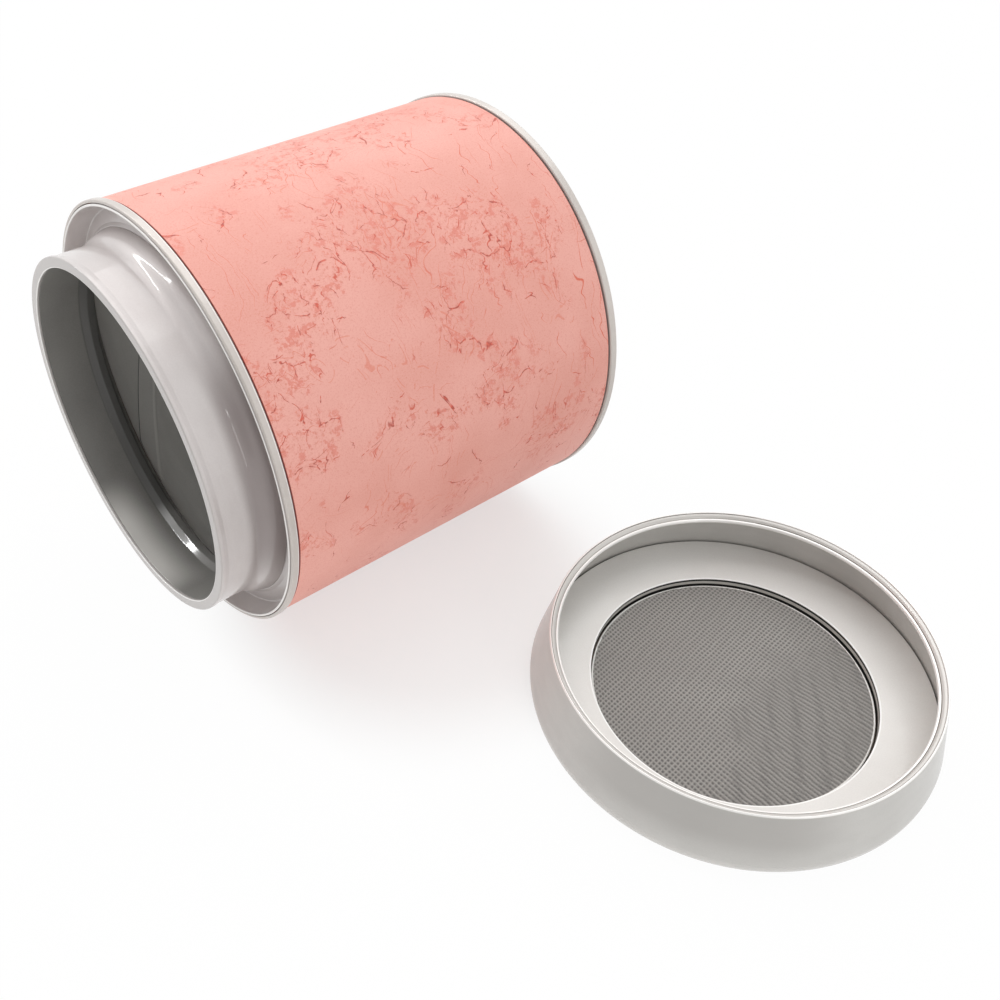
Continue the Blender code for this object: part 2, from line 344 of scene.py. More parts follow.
def liner_paper():
    """Grey paper with faint streaks round the tube, cloudy gloss and a fine grain."""
    liner = Finish(bpy.data.materials.new("dark_liner"))
    spot = liner.spot()
    streaks = liner.noise(liner.scaled(spot, (0.5, 0.06, 0.06)), 1.0, 3.0, 0.5)
    grain = liner.noise(spot, 3.0, 2.0, 0.6)
    base = liner.mix(streaks.step(0.3, 0.7) * 0.5, colour(212, 210, 206), colour(*LINER_TONE))
    return liner.skin({
        "Base Color": liner.mix(grain.step(0.4, 0.7) * 0.35, base, colour(*LINER_TONE)),
        "Roughness": 0.42 + 0.12 * streaks,
        "Normal": liner.bump(grain + 0.6 * streaks, 0.012),
    })


liner_outline = rounded([
    (LINER_BORE, WALL_FRONT, 0.08),
    (LINER_RADIUS, WALL_FRONT, 0.08),
    (LINER_RADIUS, WALL_BACK, 0.08),
    (LINER_BORE, WALL_BACK, 0.08),
])
spiral_liner = turned("spiral_liner", liner_outline, on_tube, liner_paper())
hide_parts("inner_liner")
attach(spiral_liner, "tube")


def liner_lap():
    """The liner's lap: a strip whose section (width, height) is carried along a spiral, so that at
    turn a it starts at offset plus pitch times a. It is cut off at the wall's ends."""
    section = np.array([
        (0.0, 0.06), (0.0, -0.6 * LAP_PROUD), (0.06, -LAP_PROUD), (0.5, -LAP_PROUD),
        (LAP_WIDTH - 1.4, -LAP_PROUD), (LAP_WIDTH - 0.8, -1.35 * LAP_PROUD),
        (LAP_WIDTH - 0.4, -LAP_PROUD), (LAP_WIDTH, -0.1 * LAP_PROUD), (LAP_WIDTH, 0.06),
    ])
    across, height = section.T
    degrees = np.linspace(LAP_FIRST_TURN, LAP_LAST_TURN, 420)
    along = LAP_OFFSET + LAP_PER_DEGREE * degrees[:, None] + across
    first, last = WALL_FRONT + 0.15 + 0.01 * across, WALL_BACK - 0.2 + 0.01 * across
    turns = np.radians(degrees)
    points = on_tube(LINER_BORE + height, turns[:, None], np.clip(along, first, last))
    return looped("liner_lap", points, turns * LINER_BORE, np.append(across, 0), lap_paper())


def lap_paper():
    """As the liner, by the place across the strip: a dark line along its edge, painted shade of the
    lap's step, and a light band on its ridge, which is also glossier: a painted highlight.
    """
    strip = Finish(bpy.data.materials.new("dark_liner_lap"))
    across = strip.part(strip.node("ShaderNodeTexCoord", {}, {}, "UV"), "X")
    grain = strip.noise(strip.spot(), 3.0, 2.0, 0.6)
    # Painted shade along the strip's edge, and a painted highlight on its ridge.
    edge = across.step(0.22, 0.05)
    ridge = abs(across - LAP_RIDGE).step(0.55, 0.1)
    base = strip.mix(grain.step(0.4, 0.7) * 0.35, colour(214, 212, 208), colour(198, 196, 192))
    base = strip.mix(ridge * 0.6, base, colour(244, 242, 237))
    return strip.skin({
        "Base Color": strip.mix(edge * 0.9, base, colour(70, 70, 68)),
        "Roughness": 0.45 - 0.12 * ridge,
        "Normal": strip.bump(grain, 0.012),
    })


lap = liner_lap()
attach(lap, "tube")


# Paper wrap: one sheet of pink paper with a slight sheen, glued round the board with its far edge
# lapped over the first, low on the side away from the lid. It is mottled with ragged coral patches,
# fine hairs and cracks.

WRAP_RADIUS = 45.0
WRAP_BORE = 44.7
WRAP_LENGTH = 79.3
PAPER_THICK = 0.12
PAPER_SEAM = math.radians(305)
SEAM_WIDTH = math.radians(8)


def lapped(radius, along, turn):
    """Beyond the seam the paper's outside lies lower, by its thickness times the square of the
    share of the lap that is still to come."""
    beyond = (turn - PAPER_SEAM) % (2 * np.pi)
    lower = np.clip(1 - beyond / SEAM_WIDTH, 0, 1) ** 2
    outside = np.clip((radius - WRAP_BORE) / (WRAP_RADIUS - WRAP_BORE), 0, 1)
    return radius - PAPER_THICK * lower * outside, along


def bent(finish, place, wander):
    """A place that noises push aside. Each is given by its lumps a millimetre and how far it
    pushes."""
    for per_mm, far in wander:
        noise = {"Vector": place, "Scale": per_mm, "Detail": 1.0}
        swirl = finish.node("ShaderNodeTexNoise", {"noise_dimensions": "2D"}, noise, 1)
        sockets = {0: swirl, 1: (far, far, 0), 2: place}
        place = finish.node("ShaderNodeVectorMath", {"operation": "MULTIPLY_ADD"}, sockets)
    return place


def cracks(finish, place, scale, width):
    """A net of cracks: the borders between the cells of a Voronoi pattern, with scale cells a
    millimetre in each direction. A crack is full at its middle and gone at half its width."""
    settings = {"feature": "DISTANCE_TO_EDGE", "voronoi_dimensions": "2D"}
    sockets = {"Vector": finish.scaled(place, (*scale, 1.0)), "Scale": 1.0}
    border = finish.node("ShaderNodeTexVoronoi", settings, sockets, "Distance")
    return border.step(width * 0.5 * max(scale), width * 0.1 * max(scale))


def strokes(finish, place, scale, lean, spread, length, width):
    """Single strokes, one in each cell of a Voronoi pattern with scale cells a millimetre in each
    direction. A stroke goes through the cell's point, leans by lean degrees give or take half the
    spread, and thins out towards its ends. Half of the cells are left empty."""
    stretched = finish.scaled(place, (*scale, 1.0))
    settings = {"voronoi_dimensions": "2D"}
    sockets = {"Vector": stretched, "Scale": 1.0}
    centre = finish.node("ShaderNodeTexVoronoi", settings, sockets, "Position")
    draw = finish.node("ShaderNodeTexVoronoi", settings, sockets, "Color")
    away = finish.vector("SUBTRACT", stretched, centre)
    away = finish.scaled(away, (1 / scale[0], 1 / scale[1], 1.0))
    angle = finish.part(draw, "X") * math.radians(spread) + math.radians(lean - spread / 2)
    turned_away = {"Vector": away, "Angle": angle}
    away = finish.node("ShaderNodeVectorRotate", {"rotation_type": "Z_AXIS"}, turned_away)
    taper = abs(finish.part(away, "X")).step(length * 0.5, length * 0.2)
    thin = abs(finish.part(away, "Y")) + (1.0 - taper) * width * 0.5
    return thin.step(width * 0.5, width * 0.1) * finish.part(draw, "Y").step(0.48, 0.52)


def mottled_paper():
    """From the ground up: pink ground with clouds, a coral wash, ragged coral patches with crumbs
    round them, hair-fine lines, long sweeps and wisps, short ticks, cracks in nets and singly, and
    the grain of the paper. Each layer shows only where a wider noise lets it, so that it comes in
    clusters. Both ends are dark red over the cut and its rounding: painted shade of the gap beside
    the rim rings."""
    paper = Finish(bpy.data.materials.new("mottled_paper"))
    spot = paper.spot()
    flat = paper.node("ShaderNodeTexCoord", {}, {}, "UV")
    from_front = paper.part(spot, "X") - TUBE_FRONT
    clouds = paper.noise(spot, 0.05, 3.0, 0.5)
    clusters = paper.noise(spot, 0.06, 2.0, 0.5)
    others = paper.noise(spot, 0.045, 1.0, 0.5)
    ragged = paper.noise(spot, 0.42, 6.0, 0.72)
    crumbs = paper.noise(spot, 1.3, 3.0, 0.65)
    breaks = paper.noise(spot, 0.4, 2.0, 0.6)
    grain = paper.noise(spot, 3.6, 2.0, 0.7)

    wash = (ragged * 0.5 + crumbs * 0.5).step(0.47, 0.56) * clusters.step(0.47, 0.60)
    patches = ragged.step(0.545, 0.565) * clusters.step(0.49, 0.52)
    patches = patches * crumbs.step(0.36, 0.42)
    flecks = crumbs.step(0.60, 0.64) * clusters.step(0.46, 0.56)

    lines = paper.noise(paper.scaled(spot, (0.8, 0.45, 0.45)), 0.07, 2.0, 0.45)
    hairs = abs(lines - 0.5).step(0.0030, 0.0008) * breaks.step(0.50, 0.55)
    hairs = hairs + abs(lines - 0.52).step(0.0026, 0.0008) * breaks.step(0.50, 0.54)
    swayed = bent(paper, flat, ((0.05, 14.0), (0.3, 2.4)))
    sweeps = strokes(paper, swayed, (0.09, 0.75), 2, 16, 11.0, 0.17)
    far_end = from_front.step(50, 58) * clusters.step(0.54, 0.48)
    sweeps = sweeps * (others.step(0.50, 0.55) + far_end)
    wisps = strokes(paper, swayed, (0.50, 0.10), 84, 30, 9.0, 0.15) * others.step(0.48, 0.42)

    wavy = bent(paper, flat, ((0.12, 8.0), (0.6, 1.5)))
    nets = cracks(paper, wavy, (0.11, 0.19), 0.26) * breaks.step(0.47, 0.53)
    nets = nets * clusters.step(0.49, 0.53)
    singles = strokes(paper, wavy, (0.14, 0.16), 30, 130, 6.0, 0.26) * breaks.step(0.40, 0.48)
    ticks = strokes(paper, wavy, (0.34, 0.42), 20, 90, 2.0, 0.24) * clusters.step(0.46, 0.52)

    ground = paper.mix(clouds.step(0.35, 0.65), colour(251, 183, 170), colour(244, 172, 158))
    ground = paper.mix(wash * 0.35, ground, colour(236, 146, 131))
    ground = paper.mix(patches * 0.75, ground, colour(238, 141, 124))
    ground = paper.mix(flecks * 0.45, ground, colour(224, 122, 104))
    ground = paper.mix(hairs * 0.50, ground, colour(236, 126, 100))
    ground = paper.mix(sweeps * 0.70, ground, colour(234, 112, 86))
    ground = paper.mix(wisps * 0.70, ground, colour(230, 108, 84))
    line_tone = paper.mix(crumbs.step(0.42, 0.58), colour(230, 92, 68), colour(186, 60, 44))
    ground = paper.mix(ticks * 0.90, ground, colour(220, 86, 62))
    ground = paper.mix(nets * 0.90, ground, line_tone)
    ground = paper.mix(singles * 0.95, ground, line_tone)
    ground = paper.mix(grain.step(0.50, 0.70) * 0.45, ground, colour(230, 134, 118))
    ground = paper.mix(grain.step(0.46, 0.28) * 0.25, ground, colour(255, 202, 188))

    # Painted shade: dark red at both ends, for the gap beside the rim rings.
    ends = from_front.step(0.20, 0.08) + from_front.step(WRAP_LENGTH - 0.20, WRAP_LENGTH - 0.08)
    relief = grain * 0.25 + 0.25 * ragged
    return paper.skin({
        "Base Color": paper.mix(ends * 0.9, ground, colour(140, 40, 28)),
        "Roughness": 0.55 - 0.10 * patches,
        "IOR": 1.55,
        "Normal": paper.bump(relief, 0.03),
    })


wrap_outline = rounded([
    (WRAP_BORE, 0, 0.05),
    (WRAP_RADIUS, 0, 0.12),
    (WRAP_RADIUS, WRAP_LENGTH, 0.12),
    (WRAP_BORE, WRAP_LENGTH, 0.05),
])
wrap_turns = PAPER_SEAM + np.append(np.arange(AROUND) * 2 * np.pi / AROUND, 2 * np.pi - 0.0012)
paper_sheet = turned("paper_sheet", wrap_outline, on_tube, mottled_paper(), wrap_turns, lapped)
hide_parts("paper_wrap")
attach(paper_sheet, "tube")


# Front rim ring: a light satin metal band rolled round the front edge of board and paper, with the
# collar pressed into it. It stands a little proud of the paper.

RING_RADIUS = 45.4
RING_BORE = 44.75
RING_ROUNDING = 0.35
FRONT_RING_START = -1.9
FRONT_RING_END = -0.3
# Near white, for painted highlights on the metal's edges and bends.
PAINTED_HIGHLIGHT = (252, 250, 247)


def satin(name, light, dark, metallic, roughness, gloss, streaks, details):
    """Satin sheet metal under a thin clear lacquer: clouds and drawn streaks in the tone, between
    light and dark, a fine grain in the tone, the roughness and the surface, and a sharper sheen on
    top. streaks holds their lumps a millimetre along X, Y and Z, and details adds one piece's marks
    and painted light and shade to its colour."""
    metal = Finish(bpy.data.materials.new(name))
    spot = metal.spot()
    clouds = metal.noise(spot, 0.06, 3.0, 0.5)
    drawn = metal.noise(metal.scaled(spot, streaks), 1.0, 3.0, 0.6)
    grain = metal.noise(spot, 3.2, 2.0, 0.6)
    share = clouds.step(0.3, 0.7) * 0.5
    share = share + drawn.step(0.3, 0.7) * 0.25 + grain.step(0.25, 0.75) * 0.25
    base = metal.mix(share, colour(*light), colour(*dark))
    return metal.skin({
        "Base Color": details(metal, spot, base),
        "Metallic": metallic,
        "Roughness": roughness + 0.10 * grain + 0.08 * clouds,
        "Coat Weight": gloss,
        "Coat Roughness": 0.06,
        "Normal": metal.bump(grain + 0.5 * drawn, 0.006),
    })


def ring_painted_highlight(metal, spot, base):
    """The bend at the paper's side of the front ring is near white: a painted highlight."""
    along = metal.part(spot, "X") - TUBE_FRONT
    bend = along.step(FRONT_RING_END - 0.36, FRONT_RING_END - 0.26) * along.step(1.0, 0.5)
    return metal.mix(bend * 0.9, base, colour(*PAINTED_HIGHLIGHT))


ring_finish = satin(
    "ring_metal", light=(212, 205, 199), dark=(201, 193, 187), metallic=0.3, roughness=0.34,
    gloss=0.4, streaks=(0.5, 0.5, 0.5), details=ring_painted_highlight,
)
front_ring_outline = rounded([
    (RING_BORE, FRONT_RING_START, 0.06),
    (RING_RADIUS, FRONT_RING_START, RING_ROUNDING),
    (RING_RADIUS, FRONT_RING_END, RING_ROUNDING),
    (RING_BORE, FRONT_RING_END, 0.06),
])
front_band = turned("front_band", front_ring_outline, on_tube, ring_finish)
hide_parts("front_rim_ring")
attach(front_band, "tube")


# Neck collar: one metal pressing, pushed into the front of the tube. From its edge in the ring it
# goes back in a groove, turns forward in a flared foot that leads to the neck, and ends in a rolled
# lip.

BOARD_RADIUS = 44.4
COLLAR_EDGE_RADIUS = 44.6
COLLAR_EDGE_BORE = 44.1
COLLAR_START = -2.1
CREASE = 2.3
CREASE_RADIUS = 43.1
COLLAR_SHEET = 0.3
GROOVE_FLOOR = 1.15
GROOVE_BAND_RADIUS = 40.3
NECK_RADIUS = 37.6
NECK_BORE = 36.5
FILLET = 1.8
FILLET_RADIUS = 39.4
FILLET_CENTRE = -0.65
LIP_RADIUS = 37.8
LIP_BORE = 35.6
LIP_FRONT = -12.6
LIP_BACK = -11.9
LIP_SHOULDER = -11.8
LIP_FOOT = -10.9
FOOT_GROOVE = 0.72
FOOT_GROOVE_RADIUS = 39.52
FOOT_LEANS = [(-5.0, 0), (-2.8, 30), (-2.4, 30), (-1.6, 19), (0.5, 20)]
TUBE_AXIS = (0, TUBE_Y, TUBE_Z), (0, 1, 1)
LID_SIDE = (0, -0.974, 0.225)
COLLAR_EDGE_MIDDLE = (COLLAR_EDGE_RADIUS + COLLAR_EDGE_BORE) / 2

collar_back = FILLET + COLLAR_SHEET
neck_back = FILLET + NECK_RADIUS - NECK_BORE
collar_outline = rounded([
    (BOARD_RADIUS, FRONT_RING_END, 0.05),
    (BOARD_RADIUS, CREASE + COLLAR_SHEET, 0.15),
    (CREASE_RADIUS, CREASE + COLLAR_SHEET, 0.1),
    (GROOVE_BAND_RADIUS, GROOVE_FLOOR + COLLAR_SHEET, 0),
    *arc(FILLET_RADIUS, FILLET_CENTRE, neck_back, collar_back, 90, 180),
    (NECK_BORE, LIP_BACK, 0.05),
    (LIP_BORE, LIP_BACK, 0.15),
    (LIP_BORE, LIP_FRONT, 0.18),
    (LIP_RADIUS, LIP_FRONT, 0.28),
    (LIP_RADIUS, LIP_SHOULDER, 0.3),
    (NECK_RADIUS, LIP_FOOT, 0.6),
    *leaning(NECK_RADIUS, FOOT_LEANS),
    (FOOT_GROOVE_RADIUS, FOOT_GROOVE, 0.04),
    (FOOT_GROOVE_RADIUS + 0.10, FOOT_GROOVE - 0.10, 0.10),
    (GROOVE_BAND_RADIUS, GROOVE_FLOOR, 0.3),
    (CREASE_RADIUS, CREASE, 0.22),
    (COLLAR_EDGE_BORE, COLLAR_START, 0.22),
    (COLLAR_EDGE_RADIUS, COLLAR_START, 0.22),
    (COLLAR_EDGE_RADIUS, FRONT_RING_END, 0.05),
])


def collar_marks(metal, spot, base):
    """The neck is darker and lilac-grey at its foot, on the side towards the lid: painted shade and
    dark reflection. The rolled lip has a darker face. Its bore edge and the pressing's edge in the
    ring are near white: painted highlights."""
    along = metal.part(spot, "X") - TUBE_FRONT
    radius = metal.from_line(spot, *TUBE_AXIS)
    # Painted shade and dark reflection at the neck's foot, on the side towards the lid.
    painted_root_shade = metal.faces(spot, *TUBE_AXIS, LID_SIDE).step(0.72, 0.95) * along.step(-7.0, -3.8)
    painted_root_shade = painted_root_shade * radius.step(FILLET_RADIUS + 0.8, FILLET_RADIUS)
    base = metal.mix(painted_root_shade * 0.85, base, colour(142, 130, 128))
    face = along.step(LIP_FRONT + 0.34, LIP_FRONT + 0.12)
    base = metal.mix(face * 0.8, base, colour(190, 185, 182))
    # Painted highlights on the lip's bore edge and on the pressing's edge in the ring.
    lip_edge_highlight = abs(radius - (LIP_BORE + 0.04)).step(0.20, 0.10)
    lip_edge_highlight = lip_edge_highlight * along.step(LIP_FRONT + 0.30, LIP_FRONT + 0.16)
    ring_edge_highlight = abs(radius - COLLAR_EDGE_MIDDLE).step(0.24, 0.16)
    ring_edge_highlight = ring_edge_highlight * along.step(COLLAR_START + 0.20, COLLAR_START + 0.10)
    return metal.mix(lip_edge_highlight + ring_edge_highlight, base, colour(*PAINTED_HIGHLIGHT))


collar_finish = satin(
    "collar_metal", light=(215, 209, 207), dark=(203, 195, 193), metallic=0.2, roughness=0.36,
    gloss=0.7, streaks=(0.5, 0.12, 0.12), details=collar_marks,
)
pressed_collar = turned("pressed_collar", collar_outline, on_tube, collar_finish)
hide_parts("neck_collar")
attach(pressed_collar, "tube")


# Neck sleeve: a dark lacquered lining pushed up inside the neck behind its lip. Its bore ends in a
# bead that leans towards the mouth, and its foot flares out behind the groove's floor.

SLEEVE_RADIUS = 36.2
SLEEVE_START = -11.86
FOOT_OUTER = (3.2, 2.4)
FOOT_END = 2.05
FOOT_BORE = 36.4
BEAD_BORE = 35.0
# The side, low in the neck, that the painted light falls on most.
MOUTH_LIT_SIDE = (0, 0.139, -0.990)
LOWEST_SIDE = (0, -0.035, -0.999)

sleeve_outline = rounded([
    (SLEEVE_RADIUS, SLEEVE_START, 0.1),
    *arc(FILLET_RADIUS, FILLET_CENTRE, *FOOT_OUTER, 180, 90),
    (FILLET_RADIUS, FOOT_END, 0.1),
    (FOOT_BORE, 0.55, 0.3),
    (BEAD_BORE, 0.10, 0.45),
    (BEAD_BORE, -1.55, 0.6),
    (LIP_BORE, -3.15, 0.8),
    (LIP_BORE, SLEEVE_START + 2.6, 2.4),
    (LIP_BORE + 0.05, SLEEVE_START, 0.1),
])


def lacquered_sleeve():
    """Dark grey lacquer with faint clouds and orange-peel. It is lighter towards the lip, most of
    all
    low in the neck: painted light that falls in at the mouth. The bead is darker but for the lowest
    strip: painted shade. Only the lowest strip is glossy."""
    lacquer = Finish(bpy.data.materials.new("sleeve_lacquer"))
    spot = lacquer.spot()
    clouds = lacquer.noise(spot, 0.08, 3.0, 0.5)
    peel = lacquer.noise(spot, 1.6, 2.0, 0.5)
    grain = lacquer.noise(spot, 3.4, 2.0, 0.6)
    share = clouds.step(0.3, 0.7) * 0.6 + grain.step(0.3, 0.7) * 0.4
    along = lacquer.part(spot, "X") - TUBE_FRONT
    # Painted light: lighter towards the lip, most of all low in the neck, where light falls in at
    # the mouth.
    mouth_lit_side = lacquer.faces(spot, *TUBE_AXIS, MOUTH_LIT_SIDE)
    painted_mouth_light = along.step(-3.0, -11.5) * (0.1 + 0.9 * mouth_lit_side.step(0.84, 0.99))
    base = lacquer.mix(share, colour(134, 132, 128), colour(120, 118, 115))
    base = lacquer.mix(painted_mouth_light, base, colour(225, 222, 217))
    # Painted shade: the bead is darker, but for the lowest strip.
    lowest_strip = lacquer.faces(spot, *TUBE_AXIS, LOWEST_SIDE).step(0.90, 0.97)
    bead = along.step(-3.6, -3.0) * along.step(1.0, 0.5) * (1 - lowest_strip)
    return lacquer.skin({
        "Base Color": lacquer.mix(bead * 0.8, base, colour(72, 71, 69)),
        "Metallic": 0.1,
        "Roughness": 0.42 + 0.10 * grain,
        "Coat Weight": 0.05 + 0.95 * lowest_strip,
        "Coat IOR": 2.0,
        "Coat Roughness": 0.10,
        "Normal": lacquer.bump(peel * 0.6 + grain * 0.4, 0.006),
    })


lacquered_lining = turned("lacquered_lining", sleeve_outline, on_tube, lacquered_sleeve())
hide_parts("neck_sleeve")
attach(lacquered_lining, "tube")


# Base rim ring: the same rolled metal band as in front, round the far edge of the paper, with the
# base plate pressed into it.

BASE_RING_START = 79.6
BASE_RING_END = 81.4

base_ring_outline = rounded([
    (RING_BORE, BASE_RING_START, 0.06),
    (RING_RADIUS, BASE_RING_START, RING_ROUNDING),
    (RING_RADIUS, BASE_RING_END, RING_ROUNDING),
    (RING_BORE, BASE_RING_END, 0.06),
])
base_band = turned("base_band", base_ring_outline, on_tube, ring_finish)
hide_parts("base_rim_ring")
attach(base_band, "tube")


# Base card: a dark card disc that lines the inside of the base, against the plate. It is seen down
# the neck. The CAD solid is kept.

refinish("base_card", card("dark_card", colour(88, 86, 84), colour(72, 70, 68)))


# Base plate: a sheet metal plate pressed into the far end, with a rim that stands up inside the
# ring. Its recessed face is flat, with the fine rings of the press tool.

PLATE_RADIUS = 44.4
PLATE_RIM_BORE = 43.6
PLATE_BACK = 77.8
PLATE_FACE = 78.4
PLATE_END = 81.3

plate_outline = rounded([
    (0, PLATE_FACE, 0),
    (PLATE_RIM_BORE, PLATE_FACE, 0.6),
    (PLATE_RIM_BORE, PLATE_END, 0.3),
    (PLATE_RADIUS, PLATE_END, 0.3),
    (PLATE_RADIUS, PLATE_BACK, 0.3),
    (0, PLATE_BACK, 0),
])


def plate_marks(metal, spot, base):
    """The press tool leaves fine rings on the plate."""
    radius = metal.from_line(spot, *TUBE_AXIS)
    return metal.mix((radius * 6.0).wave().step(0.2, 1.0) * 0.12, base, colour(178, 174, 170))


plate_finish = satin(
    "plate_metal", light=(212, 208, 204), dark=(199, 194, 190), metallic=0.5, roughness=0.32,
    gloss=0.5, streaks=(0.5, 0.5, 0.5), details=plate_marks,
)
pressed_plate = turned("pressed_plate", plate_outline, on_tube, plate_finish)
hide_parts("base_plate")
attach(pressed_plate, "tube")


# Lid shell: a deep metal pressing that lies on its outer face. A round corner leads to a wall that
# leans in to the rim, where the sheet is rolled over twice, with a seam line at either side.

shell_low, shell_high = (Vector(corner) * 1000 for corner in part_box("lid_shell"))
LID_X = (shell_low.x + shell_high.x) / 2
LID_Y = (shell_low.y + shell_high.y) / 2
LID_RADIUS = 42.8
LID_FLAT_RADIUS = 38.7
LID_CORNER = 4.1
LID_SHOULDER = 4.6
LID_SHEET = 0.5
LID_HEIGHT = 16.8
RIM_RADIUS = 39.9
MOUTH_RADIUS = 37.9
MOUTH_HEIGHT = 15.5
RIM_UNDERSIDE = 14.9
WALL_LEAN = 2.9 / 11.7
RIM_GROOVE = 39.43
BEAD_GROOVE = 38.50
RIM_CREST = 39.66
BEAD_CREST = 38.14
ROLL_END = math.radians(37)
LID_AXIS = (LID_X, LID_Y, 0), (1, 1, 0)
LID_FRONT = (-0.87, -0.50, 0)


def on_lid(radius, turn, along):
    """Points about the lid's axis. Turn 0 is towards +X and a quarter turn is +Y, and along is the
    height above the floor."""
    across = LID_X + radius * np.cos(turn)
    aside = LID_Y + radius * np.sin(turn)
    return np.stack(np.broadcast_arrays(across, aside, along), -1)


wall_inside = LID_RADIUS - LID_SHEET
corner_inside = LID_CORNER - LID_SHEET
shell_outline = rounded([
    (0, 0, 0),
    *arc(LID_FLAT_RADIUS, LID_CORNER, LID_CORNER, LID_CORNER, -90, 0),
    (LID_RADIUS, LID_SHOULDER, 0.4),
    (RIM_RADIUS, LID_HEIGHT - 0.30, 0.18),
    (39.72, LID_HEIGHT, 0.12),
    (39.55, LID_HEIGHT, 0.10),
    (RIM_GROOVE, LID_HEIGHT - 0.32, 0.04),
    (39.34, LID_HEIGHT - 0.22, 0.10),
    (38.90, LID_HEIGHT - 0.42, 0.60),
    (38.58, LID_HEIGHT - 0.80, 0.10),
    (BEAD_GROOVE, LID_HEIGHT - 1.00, 0.04),
    (38.38, LID_HEIGHT - 0.90, 0.10),
    (38.08, LID_HEIGHT - 1.02, 0.12),
    (MOUTH_RADIUS, MOUTH_HEIGHT - 0.05, 0.1),
    (MOUTH_RADIUS + 0.10, MOUTH_HEIGHT - 0.45, 0.1),
    (wall_inside - (RIM_UNDERSIDE - LID_SHOULDER) * WALL_LEAN, RIM_UNDERSIDE, 0.2),
    (wall_inside, LID_SHOULDER, 0.4),
    *arc(LID_FLAT_RADIUS, LID_CORNER, corner_inside, corner_inside, 0, -90),
    (0, LID_SHEET, 0),
])


def lid_painted_light(metal, spot, base):
    """The wall is darker in front: painted shade and dark reflection. The foot is lighter, a
    painted reflection of the floor, and a little browner where it curves in to the floor, a painted
    contact shadow. The rim is lighter, and its crest and bead near white: painted highlights. The
    two seam
    lines are dark, a painted shade: beyond the end of the roll the outer one is lighter and the
    inner one darker."""
    radius = metal.from_line(spot, *LID_AXIS)
    height = metal.part(spot, "Z")
    away = metal.vector("SUBTRACT", spot, LID_AXIS[0])
    turn = metal.part(away, "Y").math("ARCTAN2", metal.part(away, "Y"), metal.part(away, "X"))
    # Painted shade and dark reflection on the front of the wall.
    front = metal.faces(spot, *LID_AXIS, LID_FRONT).step(0.72, 0.96) * height.step(5.0, 11.0)
    base = metal.mix(front * 0.8, base, colour(180, 177, 173))
    # Painted reflection of the floor on the foot, and a painted contact shadow low on it.
    base = metal.mix(height.step(6.0, 2.0) * 0.6, base, colour(228, 225, 221))
    base = metal.mix(height.step(2.9, 2.0) * 0.45, base, colour(150, 132, 116))
    # Painted highlights: the rim lighter, its crest and bead near white.
    on_rim = height.step(LID_HEIGHT - 1.9, LID_HEIGHT - 1.6)
    on_rim = on_rim * radius.step(RIM_RADIUS + 0.05, RIM_RADIUS - 0.05)
    base = metal.mix(on_rim * 0.5, base, colour(222, 218, 213))
    crest = abs(radius - RIM_CREST).step(0.28, 0.20) + abs(radius - BEAD_CREST).step(0.34, 0.24)
    base = metal.mix(crest * on_rim, base, colour(255, 253, 250))
    # Painted shade in the roll's two seam lines.
    past_end = turn.step(ROLL_END, ROLL_END - 0.02)
    painted_seam_shade = abs(radius - RIM_GROOVE).step(0.09, 0.03) * (0.9 - 0.4 * past_end)
    painted_seam_shade = painted_seam_shade + abs(radius - BEAD_GROOVE).step(0.09, 0.03) * (0.35 + 0.6 * past_end)
    return metal.mix(painted_seam_shade * on_rim, base, colour(88, 74, 64))


shell_finish = satin(
    "lid_metal", light=(210, 208, 204), dark=(198, 196, 192), metallic=0.3, roughness=0.36,
    gloss=0.5, streaks=(0.12, 0.12, 0.5), details=lid_painted_light,
)
pressed_lid = turned("pressed_lid", shell_outline, on_lid, shell_finish)
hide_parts("lid_shell")
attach(pressed_lid, "lid")


# Lid backing board: a card disc that ring and pad are glued to. It is hidden between them and the
# shell. The CAD solid is kept.

refinish("lid_backing_board", card("backing_board", colour(150, 135, 120), colour(122, 108, 95)))


# Lid step ring: a light lacquered metal ring on the lid's floor, whose top falls a little towards
# the pad. Its bore edge is rolled, and stands over the wall of the pad's recess.

STEP_RING_BOTTOM = 2.0
STEP_RING_BORE = 29.93
STEP_RING_BORE_TOP = 4.9
STEP_RING_TOP = 5.3
STEP_RING_RADIUS = 41.83
STEP_CORNER = 3.3
GAP_SHADE_TOP = 3.34
EDGE_SHADE_FOOT = 4.06
RECESS_SHADE = (24, 23, 22)

foot_angle = math.degrees(math.asin((STEP_RING_BOTTOM - LID_CORNER) / STEP_CORNER))
step_outline = rounded([
    (STEP_RING_BORE + 0.05, STEP_RING_BOTTOM, 0),
    *arc(LID_FLAT_RADIUS, LID_CORNER, STEP_CORNER, STEP_CORNER, foot_angle, 0),
    (STEP_RING_RADIUS, STEP_RING_TOP, 0.12),
    (STEP_RING_BORE, STEP_RING_BORE_TOP, 0.10),
    (STEP_RING_BORE, STEP_RING_BORE_TOP - 0.24, 0.08),
    (STEP_RING_BORE + 0.30, STEP_RING_BORE_TOP - 0.30, 0.05),
    (STEP_RING_BORE + 0.30, STEP_RING_BORE_TOP - 0.42, 0.05),
    (STEP_RING_BORE + 0.05, STEP_RING_BORE_TOP - 0.52, 0.06),
])


